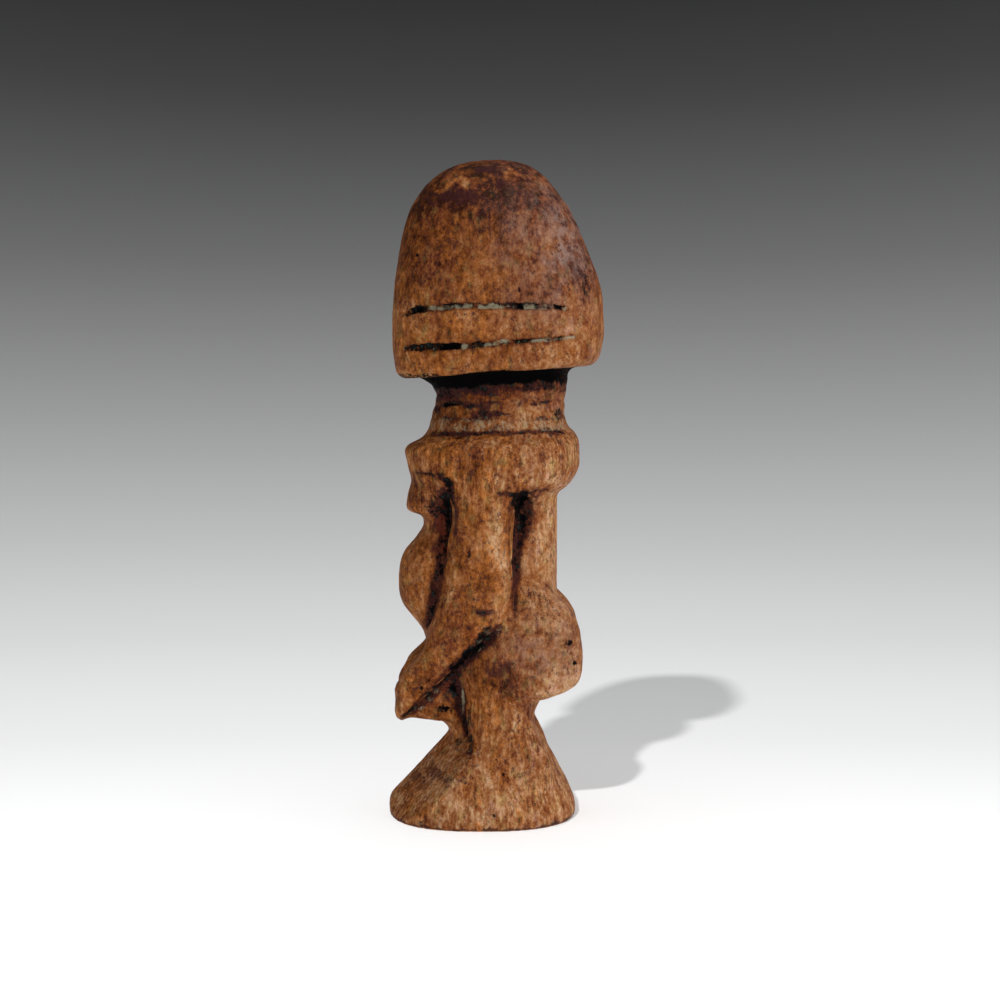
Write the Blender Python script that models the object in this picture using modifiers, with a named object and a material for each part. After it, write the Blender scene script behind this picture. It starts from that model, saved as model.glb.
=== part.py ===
"""A small wooden divination figure, carved from one block of wood.

It stands on a flared foot and faces -Y, with +Z up and its origin at the centre of its underside.
The block is roughed out as level sections, fused into one body, worn smooth, cut flat below and then
scored with the carver's grooves. Lengths are in metres.
"""

import math

import bmesh
import bpy
from mathutils import Vector
from mathutils.bvhtree import BVHTree

# Driving sizes of the figure.
FIGURE_HEIGHT = 0.100
HEAD_HEIGHT = 0.0321
HEAD_LENGTH = 0.0322
HEAD_WIDTH = 0.0258
HEAD_AXIS_Y = 0.00245
HEAD_TILT = 0.068
NECK_LENGTH = 0.0200
NECK_WIDTH = 0.0180
COLLAR_HEIGHT = 0.0112
COLLAR_LENGTH = 0.0268
COLLAR_WIDTH = 0.0256
TORSO_LENGTH = 0.0243
TORSO_WIDTH = 0.0192
ARM_THICKNESS = 0.0080
ARM_SPAN = 0.0246
HIP_LENGTH = 0.0183
HIP_WIDTH = 0.0223
FOOT_HEIGHT = 0.0125
FOOT_LENGTH = 0.0290
FOOT_WIDTH = 0.0276
FOOT_RIM_HEIGHT = 0.0028

# Grooves, each a rounded gouge whose centre is sunk a little below the wood.
HEAD_GROOVE_RADIUS = 0.00060
BODY_GROOVE_RADIUS = 0.00075
GROOVE_SINK = 0.00015

# How finely the wood is shaped.
SECTION_STEP = 0.0005
SECTION_POINTS = 64
GRAIN_OF_CARVING = 0.00042
WEAR_PASSES = 5
BODY_TRIANGLES = 6800
GROOVE_STEPS = 3

PERCENT = FIGURE_HEIGHT / 100
COLLAR_TOP = 60.4 * PERCENT
COLLAR_BASE = COLLAR_TOP - COLLAR_HEIGHT
HEAD_BASE = FIGURE_HEIGHT - HEAD_HEIGHT


def clear_scene():
    for old in list(bpy.data.objects):
        bpy.data.objects.remove(old, do_unlink=True)


def new_collection(name, shown):
    collection = bpy.data.collections.new(name)
    bpy.context.scene.collection.children.link(collection)
    collection.hide_render = not shown
    return collection


def smooth_column(heights, values, at):
    """Value at one height on a smooth curve through the stations, without overshoot between them."""
    last = len(heights) - 1
    slopes = [(values[i + 1] - values[i]) / (heights[i + 1] - heights[i]) for i in range(last)]
    tangents = [slopes[0]]
    for before, after in zip(slopes, slopes[1:]):
        tangents.append(0.0 if before * after <= 0 else 2 * before * after / (before + after))
    tangents.append(slopes[-1])
    i = 0
    while i < last - 1 and at > heights[i + 1]:
        i += 1
    gap = heights[i + 1] - heights[i]
    t = (at - heights[i]) / gap
    return (
        values[i] * (1 + 2 * t) * (1 - t) ** 2
        + tangents[i] * gap * t * (1 - t) ** 2
        + values[i + 1] * t * t * (3 - 2 * t)
        + tangents[i + 1] * gap * t * t * (t - 1)
    )


def section_point(station, angle, squareness):
    """A point on a level section; angle 0 is its +X side and 90 degrees is its back."""
    height, front, back, inner, outer = station
    across, along = math.cos(angle), math.sin(angle)
    x = math.copysign(abs(across) ** (2 / squareness), across)
    y = math.copysign(abs(along) ** (2 / squareness), along)
    return Vector((
        (inner + outer) / 2 + x * (outer - inner) / 2,
        (front + back) / 2 + y * (back - front) / 2,
        height,
    ))


def refined(stations):
    """The stations with more between them, every SECTION_STEP and at each station's own height."""
    heights = [station[0] for station in stations]
    columns = list(zip(*stations))[1:]
    levels = set(heights)
    for low, high in zip(heights, heights[1:]):
        count = math.ceil((high - low) / SECTION_STEP)
        levels.update(low + (high - low) * i / count for i in range(1, count))
    return [
        (level, *(smooth_column(heights, column, level) for column in columns))
        for level in sorted(levels)
    ]


def loft(name, stations, squareness, side=1, tilt=0.0):
    """A closed body through level sections of (height, front, back, inner, outer)."""
    levels = refined(stations)
    low, high = levels[0][0], levels[-1][0]
    shape = bmesh.new()
    rings = []
    for station in levels:
        lean = tilt * (high - station[0]) / (high - low)
        ring = []
        for i in range(SECTION_POINTS):
            point = section_point(station, 2 * math.pi * i / SECTION_POINTS, squareness)
            ring.append(shape.verts.new((side * point.x, point.y, point.z + lean * point.y)))
        rings.append(ring)
    for lower, upper in zip(rings, rings[1:]):
        for i in range(SECTION_POINTS):
            j = (i + 1) % SECTION_POINTS
            shape.faces.new((lower[i], lower[j], upper[j], upper[i]))
    shape.faces.new(rings[0])
    shape.faces.new(rings[-1])
    bmesh.ops.recalc_face_normals(shape, faces=shape.faces)
    mesh = bpy.data.meshes.new(name)
    shape.to_mesh(mesh)
    shape.free()
    form = bpy.data.objects.new(name, mesh)
    rough_forms.objects.link(form)
    return form


def centred(rows, length, width, base, height, axis=0.0):
    """Stations of a form on the middle plane, from shares (height, front, back, width) of its own sizes."""
    return [
        (base + up * height, axis + front * length, axis + back * length, -half * width / 2, half * width / 2)
        for up, front, back, half in rows
    ]


def make_head():
    """A tall dome with flat cheeks: shares of its height, length and width from rim to crown."""
    rows = (
        (0.000, -0.450, 0.438, 0.930),
        (0.030, -0.484, 0.475, 0.970),
        (0.080, -0.491, 0.488, 0.990),
        (0.160, -0.500, 0.500, 1.000),
        (0.250, -0.500, 0.496, 1.000),
        (0.350, -0.495, 0.488, 0.990),
        (0.450, -0.487, 0.463, 0.965),
        (0.550, -0.472, 0.426, 0.930),
        (0.650, -0.454, 0.388, 0.885),
        (0.750, -0.424, 0.343, 0.815),
        (0.820, -0.389, 0.298, 0.740),
        (0.880, -0.346, 0.254, 0.650),
        (0.930, -0.291, 0.209, 0.545),
        (0.970, -0.212, 0.148, 0.410),
        (0.990, -0.140, 0.095, 0.280),
        (1.000, -0.070, 0.045, 0.150),
    )
    stations = centred(rows, HEAD_LENGTH, HEAD_WIDTH, HEAD_BASE, HEAD_HEIGHT, HEAD_AXIS_Y)
    loft("head", stations, 2.7, tilt=HEAD_TILT)


def make_neck():
    axis = 2.9 * PERCENT
    rows = (
        (0.000, -0.525, 0.505, 1.100),
        (0.316, -0.545, 0.495, 1.078),
        (0.374, -0.537, 0.500, 1.056),
        (0.439, -0.530, 0.485, 1.022),
        (0.497, -0.507, 0.485, 1.000),
        (0.555, -0.503, 0.485, 0.989),
        (0.613, -0.492, 0.500, 0.989),
        (0.671, -0.510, 0.506, 1.011),
        (0.723, -0.550, 0.510, 1.056),
        (0.761, -0.605, 0.520, 1.111),
        (1.000, -0.640, 0.520, 1.130),
    )
    base = COLLAR_TOP - 5.4 * PERCENT
    loft("neck", centred(rows, NECK_LENGTH, NECK_WIDTH, base, HEAD_BASE + 2.6 * PERCENT - base, axis), 2.3)


def make_collar():
    """A thick rounded collar over the shoulders, with a crease where the neck rises out of it."""
    axis = 1.5 * PERCENT
    rows = (
        (0.000, -0.410, 0.347, 0.859),
        (0.071, -0.429, 0.381, 0.906),
        (0.143, -0.448, 0.433, 0.945),
        (0.223, -0.455, 0.459, 0.969),
        (0.304, -0.470, 0.481, 0.984),
        (0.464, -0.485, 0.500, 1.000),
        (0.554, -0.494, 0.500, 1.000),
        (0.643, -0.500, 0.500, 0.996),
        (0.710, -0.468, 0.500, 0.965),
        (0.755, -0.428, 0.496, 0.925),
        (0.805, -0.388, 0.489, 0.855),
        (0.875, -0.369, 0.470, 0.797),
        (0.929, -0.358, 0.444, 0.766),
        (1.000, -0.354, 0.414, 0.734),
    )
    loft("collar", centred(rows, COLLAR_LENGTH, COLLAR_WIDTH, COLLAR_BASE, COLLAR_HEIGHT, axis), 2.5)


def make_torso():
    """Back, belly and the ledge of the chest, down to the web between the legs."""
    axis = -0.75 * PERCENT
    rows = (
        (10.0, -0.167, 0.368, 0.521),
        (12.7, -0.171, 0.368, 0.521),
        (13.6, -0.191, 0.364, 0.531),
        (14.8, -0.241, 0.360, 0.563),
        (15.2, -0.430, 0.360, 0.594),
        (16.0, -0.478, 0.364, 0.625),
        (18.0, -0.478, 0.405, 0.667),
        (21.1, -0.455, 0.426, 0.750),
        (24.0, -0.380, 0.447, 0.833),
        (25.8, -0.330, 0.455, 0.896),
        (27.2, -0.325, 0.467, 0.938),
        (28.6, -0.342, 0.475, 0.958),
        (29.8, -0.372, 0.484, 0.979),
        (31.4, -0.428, 0.492, 0.990),
        (32.8, -0.471, 0.500, 1.000),
        (34.2, -0.492, 0.500, 1.000),
        (36.5, -0.500, 0.500, 1.000),
        (38.8, -0.492, 0.500, 1.000),
        (40.6, -0.463, 0.500, 1.000),
        (42.2, -0.409, 0.500, 0.980),
        (43.6, -0.364, 0.500, 0.955),
        (44.6, -0.337, 0.500, 0.940),
        (45.8, -0.335, 0.500, 0.940),
        (46.5, -0.360, 0.500, 0.945),
        (46.9, -0.430, 0.500, 0.955),
        (47.5, -0.451, 0.500, 0.960),
        (48.5, -0.444, 0.500, 0.965),
        (50.0, -0.434, 0.500, 0.979),
        (51.7, -0.409, 0.504, 0.990),
        (55.0, -0.364, 0.484, 0.979),
    )
    loft("torso", centred(rows, TORSO_LENGTH, TORSO_WIDTH, 0.0, PERCENT, axis), 3.0)


def make_arm(side):
    """The upper arm hangs from the collar, and the forearm tapers to a hand at the front of the knees."""
    reach = ARM_SPAN / 2
    rows = (
        (15.0, -12.6, -11.9, 0.00, 0.44),
        (15.4, -12.95, -11.5, 0.00, 0.52),
        (16.0, -13.20, -10.9, 0.00, 0.60),
        (17.0, -13.35, -10.0, 0.00, 0.67),
        (18.3, -13.15, -8.9, 0.01, 0.72),
        (19.4, -13.25, -7.8, 0.02, 0.76),
        (20.3, -13.35, -6.9, 0.03, 0.79),
        (21.2, -12.90, -5.9, 0.05, 0.82),
        (22.0, -12.25, -5.1, 0.07, 0.845),
        (23.0, -11.90, -4.2, 0.09, 0.87),
        (24.4, -10.45, -2.9, 0.14, 0.90),
        (26.0, -9.05, -1.3, 0.18, 0.93),
        (27.5, -8.50, 0.2, 0.24, 0.95),
        (29.0, -8.00, 1.9, 0.30, 0.965),
        (30.3, -7.45, 3.1, 0.34, 0.97),
        (32.5, -6.70, 4.2, 0.35, 0.975),
        (35.5, -5.95, 4.5, 0.35, 0.98),
        (40.0, -5.20, 4.5, 0.35, 0.985),
        (43.0, -4.75, 4.5, 0.35, 0.99),
        (47.4, -4.45, 4.5, 0.35, 1.00),
        (52.0, -4.40, 4.6, 0.35, 1.01),
    )
    stations = []
    for level, front, back, inner, outer in rows:
        outside = outer * reach
        inside = max(inner * reach, outside - ARM_THICKNESS)
        stations.append((level * PERCENT, front * PERCENT, back * PERCENT, inside, outside))
    loft("arm", stations, 3.0, side)


def make_leg(side):
    """Hip and buttock above, and a bent leg that spreads with the foot below."""
    axis = 5.6 * PERCENT
    spread = FOOT_WIDTH / HIP_WIDTH
    rows = (
        (1.5, -0.400, 0.220, 0.26, 0.790 * spread),
        (5.0, -0.410, 0.270, 0.26, 0.812 * spread),
        (8.0, -0.400, 0.272, 0.26, 0.796 * spread),
        (10.5, -0.383, 0.230, 0.26, 0.766 * spread),
        (12.5, -0.393, 0.180, 0.26, 0.906),
        (15.0, -0.415, 0.115, 0.25, 0.870),
        (16.6, -0.426, 0.093, 0.20, 0.870),
        (18.0, -0.432, 0.100, 0.10, 0.879),
        (18.8, -0.437, 0.225, 0.00, 0.892),
        (19.5, -0.443, 0.350, -0.03, 0.915),
        (20.2, -0.448, 0.430, -0.05, 0.935),
        (21.0, -0.454, 0.485, -0.05, 0.960),
        (21.9, -0.459, 0.512, -0.05, 0.978),
        (23.6, -0.464, 0.526, -0.05, 0.996),
        (25.4, -0.459, 0.528, -0.05, 1.000),
        (27.2, -0.388, 0.516, -0.05, 0.996),
        (29.0, -0.306, 0.505, -0.05, 0.975),
        (30.4, -0.251, 0.487, -0.05, 0.945),
        (31.6, -0.197, 0.457, -0.05, 0.925),
        (32.6, -0.164, 0.418, -0.05, 0.895),
        (33.5, -0.131, 0.370, -0.05, 0.868),
        (34.4, -0.115, 0.318, -0.04, 0.840),
        (35.6, -0.087, 0.265, -0.02, 0.810),
        (38.0, -0.060, 0.190, 0.05, 0.740),
    )
    stations = [
        (
            level * PERCENT,
            axis + front * HIP_LENGTH,
            axis + back * HIP_LENGTH,
            inner * HIP_WIDTH / 2,
            outer * HIP_WIDTH / 2,
        )
        for level, front, back, inner, outer in rows
    ]
    loft("leg", stations, 2.6, side)


def make_foot():
    """A thick round foot, pared down in front of the legs by one slope on each side."""
    rows = (
        (-0.120, -0.483, 0.483, 0.971),
        (0.000, -0.490, 0.490, 0.985),
        (0.040, -0.498, 0.497, 0.996),
        (0.120, -0.502, 0.498, 1.000),
        (0.192, -0.502, 0.488, 0.993),
        (0.264, -0.493, 0.474, 0.978),
        (0.344, -0.486, 0.460, 0.956),
        (0.416, -0.479, 0.448, 0.934),
        (0.488, -0.472, 0.428, 0.912),
        (0.568, -0.459, 0.410, 0.882),
        (0.640, -0.441, 0.397, 0.853),
        (0.720, -0.421, 0.376, 0.816),
        (0.792, -0.400, 0.359, 0.779),
        (0.864, -0.376, 0.338, 0.735),
        (0.944, -0.345, 0.324, 0.676),
        (1.000, -0.321, 0.310, 0.618),
    )
    foot = loft("foot", centred(rows, FOOT_LENGTH, FOOT_WIDTH, 0.0, FOOT_HEIGHT), 2.35)
    rise, fall = 1.08, 0.55
    shape = bmesh.new()
    shape.from_mesh(foot.data)
    for side in (1, -1):
        cut = bmesh.ops.bisect_plane(
            shape,
            geom=shape.verts[:] + shape.edges[:] + shape.faces[:],
            dist=1e-7,
            plane_co=(0, -FOOT_LENGTH / 2, FOOT_RIM_HEIGHT),
            plane_no=(side * fall, -rise, 1),
            clear_outer=True,
        )
        open_edges = [edge for edge in cut["geom_cut"] if isinstance(edge, bmesh.types.BMEdge)]
        bmesh.ops.holes_fill(shape, edges=open_edges, sides=0)
    bmesh.ops.recalc_face_normals(shape, faces=shape.faces)
    shape.to_mesh(foot.data)
    shape.free()


def fused(forms):
    """One closed body from the overlapping forms, its inside corners softened by wear."""
    joined = bmesh.new()
    for form in forms:
        joined.from_mesh(form.data)
    mesh = bpy.data.meshes.new("fused")
    joined.to_mesh(mesh)
    joined.free()
    whole = bpy.data.objects.new("fused_forms", mesh)
    helpers.objects.link(whole)
    shell = whole.modifiers.new("Carving", "REMESH")
    shell.mode = "VOXEL"
    shell.voxel_size = GRAIN_OF_CARVING
    wear = whole.modifiers.new("Wear", "SMOOTH")
    wear.factor = 0.5
    wear.iterations = WEAR_PASSES
    graph = bpy.context.evaluated_depsgraph_get()
    mesh = bpy.data.meshes.new_from_object(whole.evaluated_get(graph))
    bpy.data.objects.remove(whole)
    return mesh


def simplified(mesh):
    """The same surface in about BODY_TRIANGLES triangles."""
    mesh.calc_loop_triangles()
    whole = bpy.data.objects.new("simplified", mesh)
    helpers.objects.link(whole)
    fewer = whole.modifiers.new("Fewer", "DECIMATE")
    fewer.ratio = min(1.0, BODY_TRIANGLES / len(mesh.loop_triangles))
    graph = bpy.context.evaluated_depsgraph_get()
    result = bpy.data.meshes.new_from_object(whole.evaluated_get(graph))
    bpy.data.objects.remove(whole)
    return result


def groove_cutter(name, points, radii):
    """A round gouge along a path, with its own radius at each point."""
    curve = bpy.data.curves.new(name, "CURVE")
    curve.dimensions = "3D"
    curve.bevel_depth = 1.0
    curve.bevel_resolution = 1
    curve.use_fill_caps = True
    spline = curve.splines.new("POLY")
    spline.points.add(len(points) - 1)
    for knot, point, radius in zip(spline.points, points, radii):
        knot.co = (*point, 1.0)
        knot.radius = radius
    guide = bpy.data.objects.new(name, curve)
    helpers.objects.link(guide)
    graph = bpy.context.evaluated_depsgraph_get()
    mesh = bpy.data.meshes.new_from_object(guide.evaluated_get(graph))
    bpy.data.objects.remove(guide)
    shape = bmesh.new()
    shape.from_mesh(mesh)
    bmesh.ops.remove_doubles(shape, verts=shape.verts, dist=1e-6)
    bmesh.ops.recalc_face_normals(shape, faces=shape.faces)
    shape.to_mesh(mesh)
    shape.free()
    return new_cutter(name, mesh)


def new_cutter(name, mesh):
    cutter = bpy.data.objects.new(name, mesh)
    cutter.hide_render = True
    cutter.display_type = "WIRE"
    cutters.objects.link(cutter)
    return cutter


def scored(wood, name, side, knots, radius):
    """A gouge laid on one flank of the wood, through knots of (along, up, share of the radius)."""
    points, radii = [], []
    for start, end in zip(knots, knots[1:]):
        last = end is knots[-1]
        for i in range(GROOVE_STEPS + last):
            share = i / GROOVE_STEPS
            along, up, girth = (a + (b - a) * share for a, b in zip(start, end))
            hit = wood.ray_cast(Vector((side * FIGURE_HEIGHT, along, up)), Vector((-side, 0, 0)))[0]
            if hit is None:
                continue
            points.append((hit.x - side * GROOVE_SINK, hit.y, hit.z))
            radii.append(radius * girth)
    return groove_cutter(name, points, radii)


# Grooves of the body, as (along, up, share of the radius) in hundredths of the figure's height.
CHEST_GROOVE = (
    (-5.0, 49.3, 0.9),
    (-5.1, 47.6, 1.4),
    (-5.3, 45.0, 1.5),
    (-5.9, 41.5, 1.1),
    (-6.5, 38.0, 0.9),
    (-7.2, 34.5, 0.9),
    (-7.8, 32.0, 0.8),
    (-8.4, 28.4, 0.5),
)
BACK_GROOVE = (
    (6.2, 49.6, 1.0),
    (6.2, 48.2, 1.8),
    (5.9, 46.2, 1.8),
    (5.3, 43.0, 1.2),
    (5.0, 39.5, 0.8),
    (5.0, 35.5, 0.5),
    (5.0, 32.0, 0.3),
)
LAP_GROOVE = (
    (2.6, 30.0, 0.4),
    (1.6, 29.0, 0.9),
    (-0.4, 27.3, 1.1),
    (-3.2, 24.4, 1.2),
    (-6.2, 21.2, 1.0),
    (-9.2, 18.3, 0.8),
    (-11.6, 16.0, 0.6),
)
SHIN_GROOVE = (
    (-3.9, 21.0, 0.9),
    (-3.5, 18.0, 1.2),
    (-3.0, 15.0, 1.0),
    (-2.4, 13.0, 0.8),
    (-1.9, 11.2, 0.5),
)
# Grooves of the head, as shares of its length and height.
HEAD_GROOVES = (
    ((-0.425, 0.272, 0.5), (-0.370, 0.292, 0.9), (-0.210, 0.306, 1.0), (-0.020, 0.308, 0.9),
     (0.150, 0.304, 1.05), (0.305, 0.300, 0.5)),
    ((-0.425, 0.118, 0.5), (-0.330, 0.120, 1.0), (-0.160, 0.126, 1.0), (0.020, 0.140, 0.9),
     (0.200, 0.154, 1.0), (0.345, 0.164, 0.5)),
)


def body_grooves(wood, side):
    for name, knots in (
        ("chest_groove_cutter", CHEST_GROOVE),
        ("back_groove_cutter", BACK_GROOVE),
        ("lap_groove_cutter", LAP_GROOVE),
        ("shin_groove_cutter", SHIN_GROOVE),
    ):
        placed = [(along * PERCENT, up * PERCENT, share) for along, up, share in knots]
        scored(wood, name, side, placed, BODY_GROOVE_RADIUS)


def head_grooves(wood, side):
    for knots in HEAD_GROOVES:
        placed = [
            (HEAD_AXIS_Y + along * HEAD_LENGTH, HEAD_BASE + up * HEAD_HEIGHT, share)
            for along, up, share in knots
        ]
        scored(wood, "head_groove_cutter", side, placed, HEAD_GROOVE_RADIUS)


def ground_cutter():
    """A slab under the figure, which saws its foot off flat at the ground."""
    reach = max(FOOT_LENGTH, FOOT_WIDTH) * 2
    depth = FOOT_HEIGHT
    shape = bmesh.new()
    bmesh.ops.create_cube(shape, size=1.0)
    bmesh.ops.scale(shape, verts=shape.verts, vec=(reach, reach, depth))
    bmesh.ops.translate(shape, verts=shape.verts, vec=(0, 0, -depth / 2))
    mesh = bpy.data.meshes.new("ground_cutter")
    shape.to_mesh(mesh)
    shape.free()
    new_cutter("ground_cutter", mesh)


def make_figure():
    make_head()
    make_neck()
    make_collar()
    make_torso()
    make_foot()
    for side in (1, -1):
        make_arm(side)
        make_leg(side)
    mesh = simplified(fused(list(rough_forms.objects)))
    mesh.name = "divination_figure"
    figure = bpy.data.objects.new("divination_figure", mesh)
    parts.objects.link(figure)

    shape = bmesh.new()
    shape.from_mesh(mesh)
    wood = BVHTree.FromBMesh(shape)
    for side in (1, -1):
        head_grooves(wood, side)
        body_grooves(wood, side)
    shape.free()
    ground_cutter()
    for tool in cutters.objects:
        cut = figure.modifiers.new(tool.name, "BOOLEAN")
        cut.operation = "DIFFERENCE"
        cut.object = tool
    return figure


def wood_material():
    material = bpy.data.materials.new("carved_wood")
    material.use_nodes = True
    shader = material.node_tree.nodes["Principled BSDF"]
    shader.inputs["Base Color"].default_value = (0.30, 0.13, 0.055, 1)
    shader.inputs["Roughness"].default_value = 0.6
    shader.inputs["Metallic"].default_value = 0.0
    return material


clear_scene()
parts = new_collection("divination_figure", shown=True)
rough_forms = new_collection("rough_forms", shown=False)
helpers = new_collection("helpers", shown=False)
cutters = new_collection("cutters", shown=False)
figure = make_figure()
figure.data.materials.append(wood_material())
for face in figure.data.polygons:
    face.use_smooth = True
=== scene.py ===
import math

import bmesh
import bpy
import numpy as np
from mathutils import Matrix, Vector, noise


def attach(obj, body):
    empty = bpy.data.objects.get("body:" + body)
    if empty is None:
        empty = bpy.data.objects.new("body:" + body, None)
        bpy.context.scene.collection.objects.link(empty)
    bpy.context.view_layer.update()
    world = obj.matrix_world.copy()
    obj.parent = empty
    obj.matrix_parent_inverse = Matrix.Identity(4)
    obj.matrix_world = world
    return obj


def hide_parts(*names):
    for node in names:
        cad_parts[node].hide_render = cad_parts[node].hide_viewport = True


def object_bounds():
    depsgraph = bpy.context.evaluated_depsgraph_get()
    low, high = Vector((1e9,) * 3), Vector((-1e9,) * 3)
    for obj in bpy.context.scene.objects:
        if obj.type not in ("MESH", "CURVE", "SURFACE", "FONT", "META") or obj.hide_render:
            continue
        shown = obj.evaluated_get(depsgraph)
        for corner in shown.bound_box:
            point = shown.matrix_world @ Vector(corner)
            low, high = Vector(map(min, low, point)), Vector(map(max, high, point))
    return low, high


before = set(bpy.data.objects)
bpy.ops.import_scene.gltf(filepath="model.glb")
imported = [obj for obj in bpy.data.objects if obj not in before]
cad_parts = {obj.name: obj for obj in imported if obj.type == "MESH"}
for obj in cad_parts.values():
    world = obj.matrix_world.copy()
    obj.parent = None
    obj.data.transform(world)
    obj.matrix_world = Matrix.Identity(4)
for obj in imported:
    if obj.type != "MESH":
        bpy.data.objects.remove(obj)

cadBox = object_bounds()
mm = 0.001

figure = {
    "voxel": 0.38 * mm,          # finest step of the carved surface
    "softening": 2,              # passes that take the voxel steps off
    "facetSize": (3.4, 3.4, 8.0),  # mm, how big the knife's flats are
    "facetDepth": 0.075,         # mm
    "lumpSize": 7.0,             # mm
    "lumpDepth": 0.09,           # mm
    "grainDepth": 0.04,          # mm, upright ridges of the grain
    "neckMarkDepth": 0.20,       # mm, level knife marks round the neck
    "grooveDepth": 0.30,         # mm, added to the grooves of the frame
    "easing": 24,                # passes that ease the edges of the body's grooves
    "swell": 0.11,               # mm, puts back what the softening and the marks take off
    "undercutDepth": 0.12,       # mm, added under the rim of the head
    "bandBase": 66.05,           # mm up, lower edge of the black band under the rim
    "bandSlope": 0.057,          # how fast that edge rises towards the back
    "heelHeight": 0.26,          # mm, how far the edge down the back of the foot stands up
}

# Grooves on each flank: (along, up, half width) in mm, from the front back or from the top down.
grooves = {
    "upperCheek": ((-11.4, 76.5, 0.30), (-9.5, 77.3, 0.50), (-4.3, 77.7, 0.42), (1.8, 77.8, 0.36),
                   (7.3, 77.7, 0.46), (12.3, 77.5, 0.32)),
    "lowerCheek": ((-11.4, 71.6, 0.34), (-8.2, 71.75, 0.52), (-2.7, 71.9, 0.48), (3.1, 72.4, 0.36),
                   (8.9, 72.8, 0.36), (13.6, 73.2, 0.28)),
    "chest": ((-5.0, 50.6, 0.6), (-5.1, 47.6, 1.1), (-5.3, 45.0, 1.2), (-5.9, 41.5, 0.95), (-6.5, 38.0, 0.75),
              (-7.2, 34.5, 0.65), (-7.8, 32.0, 0.55), (-8.4, 28.4, 0.35)),
    "back": ((6.2, 49.9, 0.9), (6.2, 48.2, 1.5), (5.9, 46.2, 1.5), (5.3, 43.0, 0.95), (5.0, 39.5, 0.6),
             (5.0, 35.5, 0.4), (5.0, 32.0, 0.25)),
    "lap": ((2.6, 30.0, 0.5), (1.6, 29.0, 0.85), (-0.4, 27.3, 0.9), (-3.2, 24.4, 0.85), (-6.2, 21.2, 0.75),
            (-9.2, 18.3, 0.6), (-11.6, 16.0, 0.45)),
    "shin": ((-4.4, 23.4, 0.5), (-3.9, 21.0, 0.7), (-3.4, 18.0, 0.7), (-2.7, 15.0, 0.5), (-2.2, 13.0, 0.5),
             (-1.9, 11.2, 0.35)),
    "frontCrease": ((-9.9, 53.1, 0.25), (-7.6, 53.0, 0.35), (-5.6, 52.3, 0.45), (-4.4, 51.2, 0.5)),
    "collarCrease": ((2.5, 50.2, 0.35), (6.5, 49.9, 0.5), (9.8, 50.8, 0.3)),
    "neckCrease": ((-10.4, 58.1, 0.25), (-6.1, 59.0, 0.35), (0.0, 59.15, 0.38), (6.0, 59.3, 0.35),
                   (11.0, 59.5, 0.30), (13.4, 58.7, 0.25)),
}

# The edge left between two knife cuts down the back of the foot, written as the grooves are.
heelEdge = ((6.2, 18.4, 0.7), (8.2, 13.4, 0.9), (10.0, 9.9, 0.9), (11.8, 6.4, 0.7))

# Small holes and gouged specks: (side, along, up, radius, depth) in mm; side 1 is the figure's left.
pits = (
    (1, -9.5, 85.3, 0.32, 0.35), (1, 5.5, 80.2, 0.34, 0.4), (1, 3.3, 8.1, 0.32, 0.45),
    (1, 1.8, 2.5, 0.36, 0.5), (1, 13.2, 27.6, 0.5, 0.3), (1, 13.9, 24.6, 0.45, 0.25),
    (1, 7.9, 3.6, 0.3, 0.3),
    (1, -7.3, 66.8, 0.3, 0.2), (1, -9.0, 21.0, 0.4, 0.25),
    (-1, 4.1, 86.4, 0.34, 0.35), (-1, -7.7, 82.3, 0.3, 0.3), (-1, 6.4, 5.6, 0.34, 0.4),
    (-1, 11.2, 23.4, 0.45, 0.3), (-1, -3.1, 3.3, 0.3, 0.35), (-1, 0.9, 54.0, 0.32, 0.3),
)


def carvedCopy(node):
    cast = bmesh.new()
    cast.from_mesh(node.data)
    bmesh.ops.remove_doubles(cast, verts=cast.verts, dist=1e-6)
    mesh = bpy.data.meshes.new("carved_figure")
    cast.to_mesh(mesh)
    cast.free()
    piece = bpy.data.objects.new("carved_figure", mesh)
    bpy.context.scene.collection.objects.link(piece)
    skin = piece.modifiers.new("Skin", "REMESH")
    skin.mode = "VOXEL"
    skin.voxel_size = figure["voxel"]
    skin.use_smooth_shade = True
    graph = bpy.context.evaluated_depsgraph_get()
    dense = bpy.data.meshes.new_from_object(piece.evaluated_get(graph))
    piece.modifiers.clear()
    piece.data = dense
    bpy.data.meshes.remove(mesh)
    dense.name = "carved_figure"
    return piece


def points(mesh):
    flat = np.empty(len(mesh.vertices) * 3, np.float32)
    mesh.vertices.foreach_get("co", flat)
    return flat.reshape(-1, 3).astype(np.float64)


def normals(mesh):
    flat = np.empty(len(mesh.vertices) * 3, np.float32)
    mesh.vertex_normals.foreach_get("vector", flat)
    return flat.reshape(-1, 3).astype(np.float64)


def setPoints(mesh, where):
    mesh.vertices.foreach_set("co", where.astype(np.float32).ravel())
    mesh.update()


def edgeEnds(mesh):
    ends = np.empty(len(mesh.edges) * 2, np.int32)
    mesh.edges.foreach_get("vertices", ends)
    return ends.reshape(-1, 2)


def spreadOut(values, ends, passes, share=0.5):
    # Each pass moves every vertex's value towards the mean of its neighbours.
    count = len(values)
    ties = np.bincount(ends.ravel(), minlength=count).astype(np.float64)
    for _ in range(passes):
        if values.ndim == 1:
            total = np.bincount(ends[:, 0], values[ends[:, 1]], count)
            total = total + np.bincount(ends[:, 1], values[ends[:, 0]], count)
            values = values + share * (total / ties - values)
        else:
            values = np.stack([spreadOut(values[:, k], ends, 1, share) for k in range(values.shape[1])], axis=1)
    return values


def smoothStep(low, high, value):
    t = np.clip((value - low) / (high - low), 0, 1)
    return t * t * (3 - 2 * t)


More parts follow.
